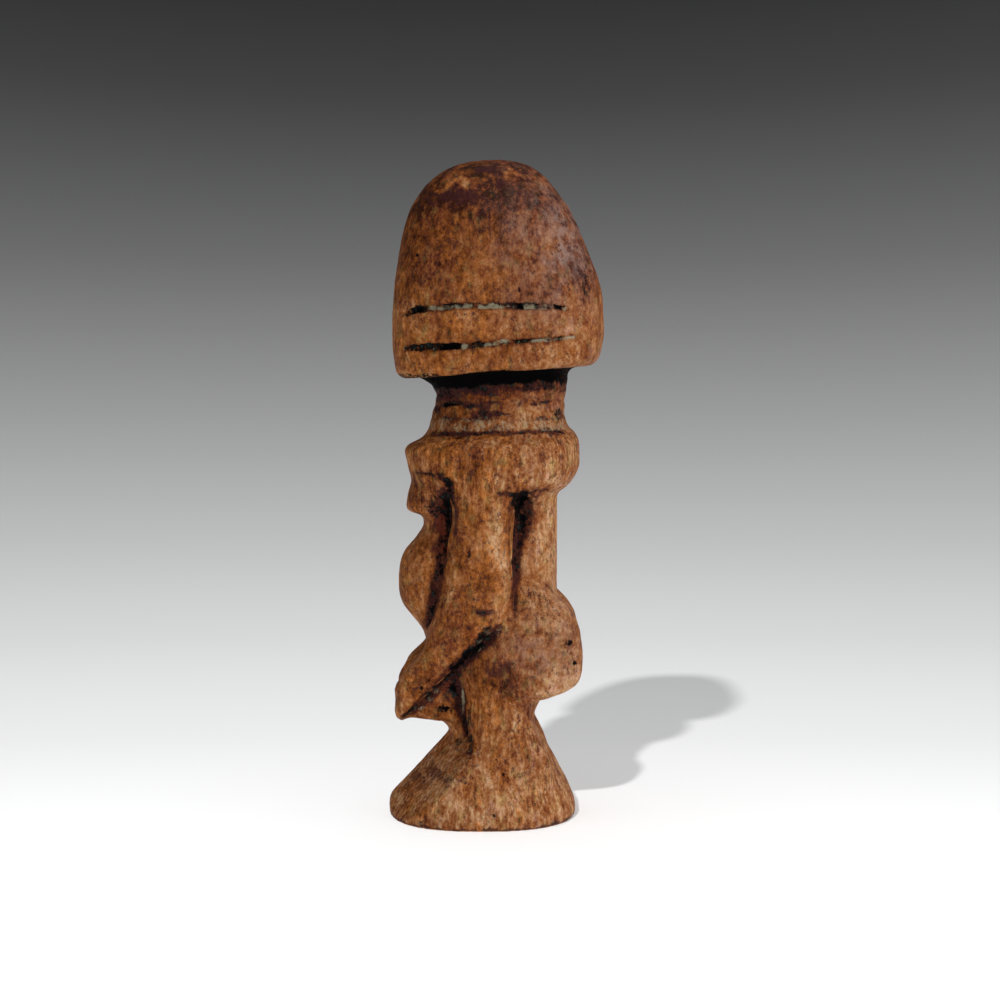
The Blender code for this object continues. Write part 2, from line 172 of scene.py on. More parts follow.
def noiseField(where, size, seed):
    # Smooth noise about zero, with its own reach along each axis, in mm.
    scaled = where / np.array(size) + seed * 17.31
    return np.array([noise.noise(p, noise_basis="PERLIN_ORIGINAL") for p in scaled.tolist()])


def facetField(where, size, seed):
    # 0 in the middle of a knife's flat and 1 on the ridge between two flats.
    scaled = where / np.array(size) + seed * 9.7
    out = np.empty(len(scaled))
    for i, p in enumerate(scaled.tolist()):
        gaps = noise.voronoi(p)[0]
        out[i] = gaps[1] - gaps[0]
    return 1 - np.clip(out / 0.5, 0, 1)


def pathGap(along, up, path):
    # Distance to a path in its half widths, and how far along the path it is.
    best = np.full(len(along), 1e9)
    travel = np.zeros(len(along))
    above = np.zeros(len(along))
    done = 0.0
    for (y0, z0, w0), (y1, z1, w1) in zip(path, path[1:]):
        dy, dz = y1 - y0, z1 - z0
        long = math.hypot(dy, dz)
        t = np.clip(((along - y0) * dy + (up - z0) * dz) / long**2, 0, 1)
        gap = np.hypot(along - y0 - t * dy, up - z0 - t * dz) / (w0 + (w1 - w0) * t)
        travel = np.where(gap < best, done + t * long, travel)
        above = np.where(gap < best, up - z0 - t * dz, above)
        best = np.minimum(best, gap)
        done += long
    return best, travel, above


def neckCore(x, y):
    # 1 on the neck and 0 on the head and collar round it.
    return smoothStep(1.12, 1.0, np.hypot(x / 10.6, (y - 1.8) / 12.4))


def aboveBand(y, z):
    # Height in mm above the lower edge of the black band under the rim, which is painted shadow and grime.
    return z - figure["bandBase"] - figure["bandSlope"] * y


def carve(piece):
    mesh = piece.data
    ends = edgeEnds(mesh)
    where = spreadOut(points(mesh), ends, figure["softening"])
    where[:, 2] = np.maximum(where[:, 2], 0)
    setPoints(mesh, where)
    out = normals(mesh)
    x, y, z = (where / mm).T
    eased = np.zeros(len(where))
    for name, path in grooves.items():
        if "Cheek" not in name and "rease" not in name:
            eased = np.maximum(eased, smoothStep(3.4, 1.5, pathGap(y, z, path)[0]) * (np.abs(out[:, 2]) < 0.97))
    for _ in range(figure["easing"]):
        where = where + eased[:, None] * (spreadOut(where, ends, 1) - where)
    setPoints(mesh, where)
    out = normals(mesh)
    p = where / mm
    x, y, z = p.T
    side = np.sign(x)
    flank = smoothStep(0.15, 0.5, out[:, 0] * side)
    sole = smoothStep(0.9, 0.3, z) * smoothStep(-0.4, -0.9, out[:, 2])

    lumps = noiseField(p, [figure["lumpSize"]] * 3, 1)
    ridges = facetField(p, figure["facetSize"], 2)
    grain = noiseField(p, (1.3, 1.3, 14.0), 3)
    fine = noiseField(p, (0.9, 0.9, 1.6), 4)
    cut = figure["swell"] - figure["lumpDepth"] * (0.5 - lumps)
    cut -= figure["facetDepth"] * (1 - ridges)
    cut -= figure["grainDepth"] * (0.5 - grain)
    cut -= 0.03 * (0.5 - fine)
    neck = smoothStep(59.5, 61.0, z) * smoothStep(69.0, 67.0, z) * smoothStep(13.5, 11.5, np.hypot(x, y - 2.4))
    marks = noiseField(p, (7.0, 7.0, 0.95), 5)
    cut -= neck * figure["neckMarkDepth"] * np.clip(0.55 - 1.3 * marks, 0, 1.2)

    rim = aboveBand(y, z)
    cut -= figure["undercutDepth"] * neckCore(x, y) * smoothStep(-0.3, 0.6, rim) * smoothStep(2.3, 1.5, rim)

    ragged = 0.30 * noiseField(p, (1.1, 1.1, 1.1), 6)
    gaps = {}
    for name, path in grooves.items():
        gap, travel, above = pathGap(y + 0.5 * ragged, z + ragged * (0.6 if "Cheek" in name else 1.0), path)
        gap = gap + (1 - flank) * 3
        gaps[name] = (gap, travel, above)
        shape = smoothStep(1.15, 0.25, gap)
        shallow = 0.75 if "rease" in name else 1.0
        cut -= figure["grooveDepth"] * shape * shallow
    cut += figure["heelHeight"] * smoothStep(1.3, 0.0, pathGap(y, z, heelEdge)[0]) * flank
    for pitSide, along, up, radius, depth in pits:
        gap = np.hypot(y - along, z - up) / radius
        cut -= depth * smoothStep(1.25, 0.3, gap) * (side == pitSide) * flank

    cut *= 1 - sole
    where = where + out * (cut * mm)[:, None]
    where = spreadOut(where, ends, 1, 0.25)
    where[:, 2] = np.maximum(where[:, 2], 0)
    low, high = np.array(cadBox[0]), np.array(cadBox[1])
    setPoints(mesh, np.clip(where, low, high))
    return gaps


# Tone of the wood in soft patches: (side, along, up, reach along, reach up, amount); lighter above zero.
tonePatches = (
    (1, -4.1, 96.2, 2.4, 0.6, 0.45), (1, -6.0, 95.4, 1.4, 0.5, 0.30), (1, 4.0, 97.3, 1.3, 0.6, 0.45),
    (1, -8.0, 88.0, 4.5, 5.0, -0.07),
    (1, 0.5, 93.0, 3.5, 3.0, -0.08), (1, 1.0, 83.5, 4.5, 3.0, 0.07), (1, -9.5, 50.5, 3.0, 2.5, -0.14),
    (1, 8.0, 61.8, 5.0, 1.6, 0.22), (1, 9.5, 55.0, 4.0, 5.0, 0.08), (1, -1.8, 41.0, 2.2, 8.0, -0.06),
    (1, 2.2, 44.0, 1.2, 8.0, 0.30), (1, 10.0, 41.0, 3.0, 9.0, 0.21), (1, 12.0, 21.5, 5.0, 3.2, 0.20),
    (1, 15.2, 83.0, 1.4, 7.0, -0.28), (1, -4.0, 30.0, 4.0, 4.5, -0.16),
    (1, -9.5, 20.5, 2.5, 2.5, -0.12), (1, 12.0, 19.8, 4.0, 2.4, 0.18), (1, 0.5, 23.0, 3.6, 3.4, -0.22),
    (1, 5.0, 21.5, 3.2, 2.6, -0.18), (1, 3.0, 15.0, 3.0, 4.0, 0.04), (1, -8.0, 9.0, 5.0, 3.6, 0.13),
    (1, 2.0, 4.5, 10.0, 3.5, 0.17),
    (-1, 4.0, 94.0, 5.0, 4.0, -0.10), (-1, -6.0, 96.0, 2.4, 1.2, 0.30), (-1, 6.0, 84.0, 5.0, 5.0, 0.08),
    (-1, 8.0, 55.0, 5.0, 5.0, 0.08), (-1, 2.0, 43.0, 2.0, 8.0, 0.14), (-1, 9.5, 40.0, 3.5, 9.0, 0.10),
    (-1, -4.0, 30.0, 4.0, 4.5, -0.12), (-1, 4.0, 22.0, 5.0, 4.0, -0.22), (-1, 11.0, 19.5, 4.0, 2.4, 0.12),
    (-1, -8.0, 9.5, 4.5, 2.6, -0.14), (-1, 1.0, 4.5, 9.0, 3.5, 0.08),
)

# Where the cheek grooves are bitten black on the left flank: (from, to, strength) in mm along the head.
blackBites = {
    "upperCheek": ((-11.2, -7.9, 1.0), (-5.6, -4.2, 0.45), (4.9, 6.1, 1.0), (7.6, 8.4, 0.4), (10.5, 11.8, 1.0)),
    "lowerCheek": ((-11.4, -8.2, 1.0), (-8.2, -6.6, 0.6), (-6.6, -3.0, 1.0), (-2.0, 0.4, 0.55), (4.7, 7.2, 0.6),
                   (11.0, 11.8, 0.4)),
}


# Marks on the flanks: (side, along, up, reach along, reach up, strength) in mm; side 1 is the figure's left.
# Dark marks: the ones just under the rim of the head, 65 to 67.3 mm up, are painted shadow; the others are soot
# and grime.
sootAndShadeMarks = (
    (1, 5.9, 46.3, 1.05, 1.9, 0.66), (1, 5.0, 48.9, 0.9, 1.2, 0.8), (1, 5.4, 43.2, 0.6, 1.4, 0.55),
    (1, 4.6, 39.9, 0.45, 0.8, 0.6), (1, 3.7, 35.7, 0.5, 0.35, 0.6), (1, -5.2, 48.6, 1.2, 2.4, 0.85),
    (1, -6.8, 47.8, 0.9, 1.7, 0.55),
    (1, -4.9, 51.5, 0.55, 1.3, 0.9), (1, -8.0, 48.0, 0.6, 0.5, 0.5),
    (1, -5.6, 17.0, 1.4, 0.6, 0.7), (1, -2.0, 14.6, 0.35, 1.6, 0.6), (1, -1.7, 12.6, 0.5, 0.9, 0.7),
    (1, -3.6, 11.9, 0.8, 0.45, 0.5), (1, 12.4, 27.3, 0.6, 0.9, 0.45), (1, 13.0, 24.8, 0.4, 0.6, 0.4),
    (1, 15.4, 81.0, 0.8, 3.0, 0.42), (1, -4.6, 63.2, 1.3, 0.45, 0.85), (1, -5.5, 65.2, 1.4, 1.0, 0.5),
    (1, 11.4, 61.6, 0.9, 1.2, 0.6), (1, 10.0, 65.8, 2.2, 0.5, 0.6), (1, 0.9, 30.0, 0.6, 0.6, 0.8),
    (1, 0.3, 29.0, 0.75, 0.7, 1.0), (1, -0.5, 28.1, 0.75, 0.7, 0.9), (1, -1.4, 27.1, 0.7, 0.7, 1.0),
    (1, -2.2, 26.2, 0.7, 0.7, 1.0), (1, -3.2, 25.2, 0.7, 0.7, 1.0), (1, -4.2, 24.1, 0.6, 0.7, 1.0),
    (1, -5.4, 22.6, 0.4, 0.5, 0.7), (1, -7.0, 20.9, 0.6, 0.6, 0.8), (1, -8.0, 19.8, 0.5, 0.5, 0.8),
    (1, -4.2, 20.3, 0.8, 1.7, 0.95), (1, -3.6, 22.4, 0.6, 0.7, 0.7), (1, -2.0, 16.4, 0.35, 1.2, 0.6),
    (1, 5.6, 49.9, 1.5, 0.6, 0.9), (1, 7.0, 46.6, 0.8, 1.0, 0.4), (1, 5.2, 41.4, 0.5, 1.6, 0.5),
    (1, -1.9, 41.2, 0.35, 0.8, 0.7), (1, -0.2, 32.6, 0.9, 0.35, 0.6), (1, -7.4, 53.0, 2.2, 0.25, 0.6),
    (1, -5.2, 52.1, 0.8, 0.35, 0.8), (1, -10.0, 67.3, 2.6, 0.3, 0.5),
    (-1, 5.6, 47.0, 1.2, 2.0, 0.8), (-1, -5.0, 48.6, 1.2, 2.4, 0.7), (-1, 3.0, 63.6, 1.6, 0.5, 0.7),
    (-1, 12.4, 26.0, 0.6, 1.0, 0.45), (-1, -1.9, 12.4, 0.5, 1.0, 0.6),
)
pitchMarks = (
    (1, -1.9, 26.5, 0.55, 0.55, 0.8), (1, -2.6, 25.7, 0.6, 0.6, 0.95), (1, -3.4, 24.8, 0.6, 0.6, 0.95),
    (1, -4.1, 24.0, 0.5, 0.55, 0.9), (1, -4.3, 20.6, 0.5, 1.2, 0.75), (1, -5.4, 17.2, 1.1, 0.35, 0.8),
    (1, -4.6, 63.2, 1.1, 0.35, 0.9), (1, 5.3, 49.4, 0.8, 0.5, 0.8), (1, -5.0, 46.0, 0.5, 1.2, 0.75),
    (1, 0.2, 29.0, 0.35, 0.35, 0.7), (1, -5.2, 44.2, 0.35, 0.6, 0.6), (1, 6.2, 46.0, 0.5, 0.9, 0.6),
    (1, -5.0, 48.2, 0.45, 1.0, 0.8), (1, 5.2, 47.6, 0.5, 1.6, 0.6), (1, -5.6, 41.4, 0.35, 0.6, 0.7),
    (1, -6.1, 38.6, 0.5, 0.9, 0.7), (1, -4.7, 51.0, 0.4, 1.0, 0.7),
    (-1, -3.0, 24.6, 0.9, 1.1, 0.8), (-1, 5.4, 47.4, 0.5, 1.4, 0.7), (-1, -5.2, 47.8, 0.4, 1.2, 0.7),
)
dustMarks = (
    (1, 1.0, 29.6, 0.8, 0.6, 0.45), (1, -0.6, 28.0, 0.7, 0.6, 0.45), (1, -7.2, 20.2, 0.6, 0.5, 0.4),
    (1, -7.9, 18.6, 0.6, 0.5, 0.55), (1, -9.2, 17.2, 0.6, 0.4, 0.55), (1, -6.6, 20.0, 0.4, 0.4, 0.45),
    (1, -4.6, 11.8, 1.0, 0.6, 0.35), (1, -2.9, 18.6, 0.28, 2.6, 0.75), (1, -1.2, 10.8, 0.8, 0.7, 0.35),
    (1, 3.6, 46.0, 0.3, 2.6, 0.35), (1, -4.1, 46.4, 0.25, 2.6, 0.40), (1, -7.3, 66.9, 0.35, 0.35, 0.9),
    (1, -7.1, 77.5, 0.6, 0.3, 0.9), (1, 1.6, 77.9, 0.8, 0.3, 0.8), (1, 3.2, 72.6, 0.7, 0.25, 0.9),
    (1, 9.6, 73.1, 0.4, 0.25, 0.6), (1, 7.0, 61.4, 3.6, 0.9, 0.35), (1, -2.0, 60.6, 4.0, 0.5, 0.30),
    (-1, 0.8, 29.6, 0.9, 0.7, 0.4), (-1, -6.9, 20.0, 0.8, 0.7, 0.35), (-1, -1.4, 11.0, 0.8, 0.7, 0.3),
    (-1, 2.0, 61.2, 4.6, 0.7, 0.30),
)
emberMarks = (
    (1, -5.9, 17.9, 1.2, 0.8, 0.7), (1, -4.9, 20.0, 1.1, 1.9, 0.6), (1, -1.8, 29.2, 1.0, 1.1, 0.5),
    (1, -5.9, 45.0, 1.0, 4.5, 0.5), (1, 10.8, 64.0, 1.4, 0.8, 0.5), (1, 2.0, 64.4, 3.0, 0.5, 0.35),
    (-1, -5.6, 18.2, 1.2, 1.2, 0.7), (-1, -5.8, 45.0, 1.0, 4.5, 0.4),
)
stainMarks = (
    (1, 1.0, 98.0, 2.2, 0.8, 0.9), (1, 2.6, 95.9, 0.6, 0.8, 0.8), (1, -3.6, 93.8, 4.3, 1.3, 0.75),
    (1, -7.6, 90.6, 2.0, 0.9, 0.6), (1, -8.8, 82.0, 2.1, 1.4, 0.5), (1, 12.3, 90.0, 0.9, 0.9, 0.6),
    (1, 6.0, 94.0, 2.2, 1.0, 0.5), (1, -3.0, 87.0, 2.5, 1.0, 0.4), (1, 3.0, 88.5, 2.2, 0.8, 0.35),
    (1, 5.0, 68.6, 1.4, 1.0, 0.4), (1, -7.0, 69.0, 1.2, 0.8, 0.35), (1, 4.6, 75.0, 0.6, 2.0, 0.4),
    (1, -5.2, 64.8, 2.8, 1.6, 1.0), (1, 0.6, 65.2, 3.0, 0.8, 0.6), (1, 5.0, 63.8, 2.6, 0.6, 0.5),
    (1, -5.4, 58.8, 2.6, 0.4, 0.8), (1, 3.0, 59.0, 3.0, 0.4, 0.7), (1, 11.0, 59.0, 1.4, 0.6, 0.7),
    (1, 0.2, 55.8, 0.7, 1.3, 0.5), (1, -6.4, 47.8, 1.3, 3.0, 0.85), (1, -6.5, 43.0, 0.8, 2.2, 0.6),
    (1, 8.3, 48.4, 1.1, 0.6, 0.7), (1, 7.6, 45.4, 0.8, 1.6, 0.5), (1, 5.6, 38.4, 0.8, 2.6, 0.45),
    (1, -0.2, 32.7, 1.5, 0.6, 1.0), (1, 7.9, 35.2, 1.2, 1.2, 0.45), (1, -1.9, 41.0, 0.8, 1.5, 0.45),
    (1, 2.7, 24.2, 2.6, 1.8, 0.65), (1, 5.2, 21.6, 2.6, 1.2, 0.4), (1, -4.6, 20.2, 1.2, 2.2, 1.0),
    (1, -10.6, 6.2, 2.8, 0.9, 0.66), (1, -12.6, 4.6, 1.5, 0.9, 0.66), (1, -7.2, 7.3, 2.8, 0.9, 0.7),
    (1, -2.6, 7.4, 2.4, 0.6, 0.5), (1, -2.6, 11.6, 2.2, 1.2, 0.4),
    (1, 12.4, 22.2, 1.2, 0.6, 0.3), (1, 12.6, 27.0, 1.3, 1.4, 0.45), (1, -9.6, 20.8, 1.1, 1.0, 0.4),
    (-1, -2.0, 97.0, 2.6, 1.0, 0.8), (-1, 4.0, 92.5, 3.6, 1.4, 0.6), (-1, -8.0, 84.0, 2.0, 1.6, 0.5),
    (-1, 9.0, 81.0, 2.0, 1.2, 0.4), (-1, 1.0, 64.6, 5.0, 1.2, 0.6), (-1, 0.0, 59.7, 6.0, 0.4, 0.6),
    (-1, 4.0, 55.0, 1.0, 1.4, 0.45), (-1, -6.4, 47.0, 1.2, 3.0, 0.8), (-1, 7.6, 46.0, 0.9, 2.2, 0.6),
    (-1, 0.6, 33.0, 1.4, 0.8, 0.7), (-1, 3.6, 23.4, 2.8, 1.6, 0.6), (-1, -4.6, 20.0, 1.0, 1.9, 0.8),
    (-1, -8.4, 8.4, 3.6, 1.2, 0.55), (-1, 6.0, 6.4, 2.4, 1.0, 0.4),
)


def dabs(marks, x, y, z, ragged):
    # The strongest of the marks at each vertex, with a ragged edge.
    total = np.zeros(len(x))
    for markSide, along, up, reachY, reachZ, strength in marks:
        gap = np.hypot((y - along) / reachY, (z - up) / reachZ) + 0.9 * ragged
        total = np.maximum(total, strength * smoothStep(1.6, 0.4, gap) * smoothStep(0.0, 2.0, x * markSide))
    return total


def paint(piece, gaps):
    # Where grime and painted shade, dust and painted light, painted sheen, wear and tone lie, as numbers on the
    # vertices for the material to read.
    mesh = piece.data
    ends = edgeEnds(mesh)
    where = points(mesh)
    out = normals(mesh)
    p = where / mm
    x, y, z = p.T
    side = np.sign(x)
    flank = smoothStep(0.1, 0.45, out[:, 0] * side)

    near = spreadOut(where, ends, 6)
    far = spreadOut(near, ends, 60)
    broad = spreadOut(far, ends, 240)
    hollowFine = np.einsum("ij,ij->i", near - where, out) / mm
    hollowMid = np.einsum("ij,ij->i", far - where, out) / mm
    hollowWide = np.einsum("ij,ij->i", broad - where, out) / mm
    hollow = np.clip(smoothStep(0.02, 0.20, hollowFine) * 0.5 + smoothStep(0.10, 0.75, hollowMid) * 0.7
                     + smoothStep(0.5, 2.4, hollowWide) * 0.3, 0, 1)
    worn = np.clip(smoothStep(0.03, 0.20, -hollowFine) * 0.7 + smoothStep(0.15, 0.8, -hollowMid) * 0.6, 0, 1)

    blotFine = noiseField(p, (0.75, 0.75, 0.85), 14)
    blot = noiseField(p, (1.6, 1.6, 1.8), 11)
    blotWide = noiseField(p, (4.5, 4.5, 4.5), 12)
    mixed = 0.55 * blotFine + 0.75 * blot
    # Painted shade in hollows, mixed with grime: the deeper a vertex sits in a hollow, the darker it is painted.
    grimeAndShade = 0.75 * smoothStep(0.50, 1.0, hollow + 0.5 * mixed)
    dustAndPaintedLight = np.zeros(len(p))
    shade = np.zeros(len(p))  # how far a groove darkens the wood round it
    stain = np.zeros(len(p))
    pitchAndShadow = np.zeros(len(p))
    for name, (gap, travel, above) in gaps.items():
        depth = smoothStep(1.30, 0.60, gap + 0.5 * mixed)
        if "Cheek" in name:
            depth = smoothStep(1.35, 0.70, gap + 0.40 * mixed)
            black = np.clip(0.35 + 1.6 * noiseField(np.stack([y, side * 9.0, z], 1), (2.0, 1, 4.0), 13), 0.05, 1)
            bitten = np.zeros(len(p))
            for start, end, strength in blackBites[name]:
                bitten = np.maximum(bitten, strength * smoothStep(start - 0.25, start + 0.15, y)
                                    * smoothStep(end + 0.25, end - 0.15, y))
            black = np.where(side > 0, bitten, black)
            # Painted shade on the upper wall of each cheek groove, which faces down, and pale dust that is partly
            # painted light on the lower wall, which faces up.
            grimeAndShade = np.maximum(grimeAndShade, depth * np.clip(0.36 + 0.48 * black + 0.5 * mixed
                                                      + 0.35 * smoothStep(0.0, 0.35, above), 0, 1))
            pitchAndShadow = np.maximum(pitchAndShadow, depth * smoothStep(0.8, 1.0, black) * np.clip(0.50 + 1.6 * mixed, 0, 0.9))
            bare = (1 - black) * (1 - 0.6 * smoothStep(0.0, 0.3, above))
            dustAndPaintedLight = np.maximum(dustAndPaintedLight, depth * bare * np.clip(0.72 + 1.2 * mixed, 0.15, 0.95))
            shade = np.maximum(shade, 0.30 * smoothStep(2.2, 1.0, gap))
        elif "rease" in name:
            stain = np.maximum(stain, depth * np.clip(0.8 + 1.2 * mixed, 0.2, 1))
            grimeAndShade = np.maximum(grimeAndShade, depth * np.clip(0.28 + 1.0 * mixed, 0.0, 0.8))
            shade = np.maximum(shade, 0.35 * smoothStep(2.6, 0.9, gap))
        else:
            fade = smoothStep(0, 3.0, travel) if name == "lap" else 0.7
            if name == "back":
                fade = smoothStep(16, 6, travel)
            if name == "shin":
                fade = 0.15 + 0.5 * smoothStep(5.0, 9.0, travel)
            amount = np.clip(0.55 + 1.5 * mixed, 0.1, 1)
            grimeAndShade = np.maximum(grimeAndShade, depth * amount * (0.35 + 0.65 * fade))
            core = smoothStep(0.95, 0.35, gap + 0.5 * mixed)
            pitchAndShadow = np.maximum(pitchAndShadow, core * fade * np.clip(0.20 + 2.6 * mixed, 0, 0.85))
            spent = smoothStep(20, 11, travel) if name == "back" else 1.0
            stain = np.maximum(stain, smoothStep(2.2, 0.8, gap + 0.9 * mixed) * 0.75 * spent)
            shade = np.maximum(shade, 0.45 * smoothStep(2.3, 0.8, gap + 0.4 * blot))
    lap = gaps["lap"]
    lower = smoothStep(10.0, 13.0, lap[1])
    upper = smoothStep(8.0, 4.0, lap[1])
    dustAndPaintedLight = np.maximum(dustAndPaintedLight, smoothStep(1.5, 0.7, lap[0]) * upper * 0.5 * smoothStep(0.02, 0.25, mixed))
    dustAndPaintedLight = np.maximum(dustAndPaintedLight, smoothStep(1.8, 0.9, lap[0]) * lower * 0.40 * smoothStep(0.0, 0.25, mixed))

    # Painted shadow and grime under the rim of the head: faces turned down under the rim and the top of the neck
    # are painted dark to black.
    rim = aboveBand(y, z)
    inner = neckCore(x, y)
    facing = smoothStep(-0.3, -0.8, out[:, 2]) * smoothStep(-1.0, 0.5, rim) * smoothStep(4.5, 3.5, rim)
    facing = facing * np.maximum(smoothStep(1.08, 0.9, np.hypot(x / 12.0, (y - 1.5) / 13.0)),
                                 0.55 * smoothStep(-5.0, -7.0, y))
    beneath = np.maximum(inner * smoothStep(2.6, 1.9, rim), facing)
    under = beneath * smoothStep(-0.7, 0.4, rim + 0.9 * mixed)
    grimeAndShade = np.maximum(grimeAndShade, under)
    pitchAndShadow = np.maximum(pitchAndShadow, beneath * smoothStep(-0.3, 0.4, rim + 0.7 * mixed) * smoothStep(15.0, 9.0, y))
    shade = np.maximum(shade, inner * 0.5 * smoothStep(-2.0, 0.0, rim) * smoothStep(2.6, 1.9, rim))
    neck = smoothStep(60.0, 61.5, z) * smoothStep(68.0, 66.5, z) * inner
    marks = noiseField(p, (4.0, 4.0, 0.8), 5)
    stain = np.maximum(stain, neck * 0.85 * smoothStep(-0.02, 0.30, marks + 0.5 * mixed))
    grimeAndShade = np.maximum(grimeAndShade, neck * 0.55 * smoothStep(0.16, 0.42, marks + 0.5 * mixed))

    redness = dabs(emberMarks, x, y, z, mixed)
    stain = np.maximum(stain, dabs(stainMarks, x, y, z, mixed))
    pitchAndShadow = np.maximum(pitchAndShadow, dabs(pitchMarks, x, y, z, mixed))
    grimeAndShade = np.maximum(grimeAndShade, dabs(sootAndShadeMarks, x, y, z, mixed))
    dustAndPaintedLight = np.maximum(dustAndPaintedLight, dabs(dustMarks, x, y, z, mixed))
    sill = smoothStep(1.0, 0.2, z + 0.6 * mixed) * smoothStep(-0.95, -0.6, out[:, 2])
    stain = np.maximum(stain, 0.9 * sill)
    grimeAndShade = np.maximum(grimeAndShade, 0.25 * sill)
    ledge = smoothStep(2.4, 0.8, np.hypot((y + 5.4) / 1.3, (z - 49.6) / 0.8)) * flank
    grimeAndShade = np.maximum(grimeAndShade, ledge * 0.55 * smoothStep(-0.05, 0.25, mixed))
    for pitSide, along, up, radius, depth in pits:
        gap = np.hypot(y - along, z - up) / radius
        grimeAndShade = np.maximum(grimeAndShade, smoothStep(1.2, 0.6, gap) * (side == pitSide) * flank * 0.9)

    neckDust = smoothStep(58.9, 59.6, z) * smoothStep(62.6, 60.4, z) * inner
    dustAndPaintedLight = np.maximum(dustAndPaintedLight, neckDust * (0.40 + 0.16 * smoothStep(-0.20, 0.30, mixed)))
    footDust = smoothStep(1.6, 0.6, np.hypot((y + 3.6) / 2.6, (z - 11.0) / 1.6)) * flank
    dustAndPaintedLight = np.maximum(dustAndPaintedLight, footDust * 0.45 * smoothStep(-0.05, 0.30, mixed))
    beyondHeel = smoothStep(1.5, 0.2, pathGap(y - 0.7, z, heelEdge)[0])
    shade = np.maximum(shade, 0.32 * beyondHeel * flank)
    warm = smoothStep(9.0, 0.0, y) * (0.35 + 0.65 * smoothStep(7, 15, z))
    tone = 0.54 - 0.12 * smoothStep(76.5, 80, z) - 0.22 * smoothStep(86, 95, z) - 0.16 * neck - 0.05 * warm
    waves = noiseField(np.stack([x, y, z + 0.12 * y], 1), (3.6, 3.6, 0.60), 21)
    tone = tone + 0.24 * waves * smoothStep(38, 35, z) * smoothStep(20, 24, z) * smoothStep(4, 8, y)
    for patchSide, along, up, reachY, reachZ, amount in tonePatches:
        gap = np.hypot((y - along + 2.0 * blotWide) / reachY, (z - up + 2.0 * blot) / reachZ)
        tone = tone + amount * np.exp(-0.9 * gap**2) * smoothStep(-2.0, 3.0, x * patchSide)
    tone = tone - 0.55 * shade
    # Painted sheen: a soft pale patch on the back of the head and a smaller one on the hip, where the light
    # glances off.
    paintedSheen = np.exp(-np.hypot((y - 10.0) / 6.8, (z - 86.5) / 9.5)**2) * smoothStep(72, 78, z) * 0.52
    paintedSheen = np.maximum(paintedSheen, 0.35 * np.exp(-np.hypot((y - 10.0) / 6.0, (z - 28.0) / 5.0)**2))
    paintedSheen = np.clip(paintedSheen * (1 + 1.2 * blotWide + 0.8 * blot), 0, 1)
    grainy = 0.30 + 0.70 * np.maximum(smoothStep(30, 12, z), smoothStep(61, 58, z) * smoothStep(47, 50, z))

    for name, values in (("hollow", hollow), ("worn", worn), ("grimeAndShade", grimeAndShade), ("pitchAndShadow", pitchAndShadow), ("dustAndPaintedLight", dustAndPaintedLight),
                         ("stain", stain), ("redness", redness), ("tone", tone), ("warm", warm), ("paintedSheen", paintedSheen),
                         ("grainy", grainy)):
        layer = mesh.attributes.new(name, "FLOAT", "POINT")
        layer.data.foreach_set("value", np.clip(values, 0, 1).astype(np.float32))


wood = {
    "black": (0.030, 0.008, 0.005, 1),
    "dark": (0.085, 0.022, 0.009, 1),
    "red": (0.190, 0.052, 0.016, 1),
    "mid": (0.285, 0.100, 0.031, 1),
    "tan": (0.402, 0.188, 0.081, 1),
    "pale": (0.562, 0.342, 0.188, 1),
    "purple": (0.050, 0.015, 0.016, 1),
    "stain": (0.040, 0.011, 0.012, 1),
    "rose": (0.270, 0.125, 0.085, 1),
    "orange": (0.330, 0.098, 0.013, 1),
    "olive": (0.250, 0.150, 0.050, 1),
    # Colour of the painted sheen.
    "sheenHighlightColour": (0.250, 0.165, 0.140, 1),
    # Grime colours, also used for painted shade in hollows and under the rim.
    "grimeShadeBrown": (0.030, 0.011, 0.006, 1),
    "grimeShadeBlack": (0.0050, 0.0042, 0.0044, 1),
    "grimeShadeTeal": (0.020, 0.028, 0.024, 1),
    # Near black, for pitch in the grooves and for painted shadow under the rim.
    "pitchAndShadow": (0.0016, 0.0012, 0.0014, 1),
    # Dust colour, also used for painted light on the lower walls of the cheek grooves.
    "dustAndLightColour": (0.330, 0.290, 0.190, 1),
    "ember": (0.170, 0.026, 0.008, 1),
    "streaksPerMetre": 1700.0,
    "speckPerMetre": 1500.0,
    "poresPerMetre": 900.0,
    "bumpDepth": 0.00010,
    "bumpStrength": 0.9,
    "roughness": 0.58,
    "specular": 0.03,
}


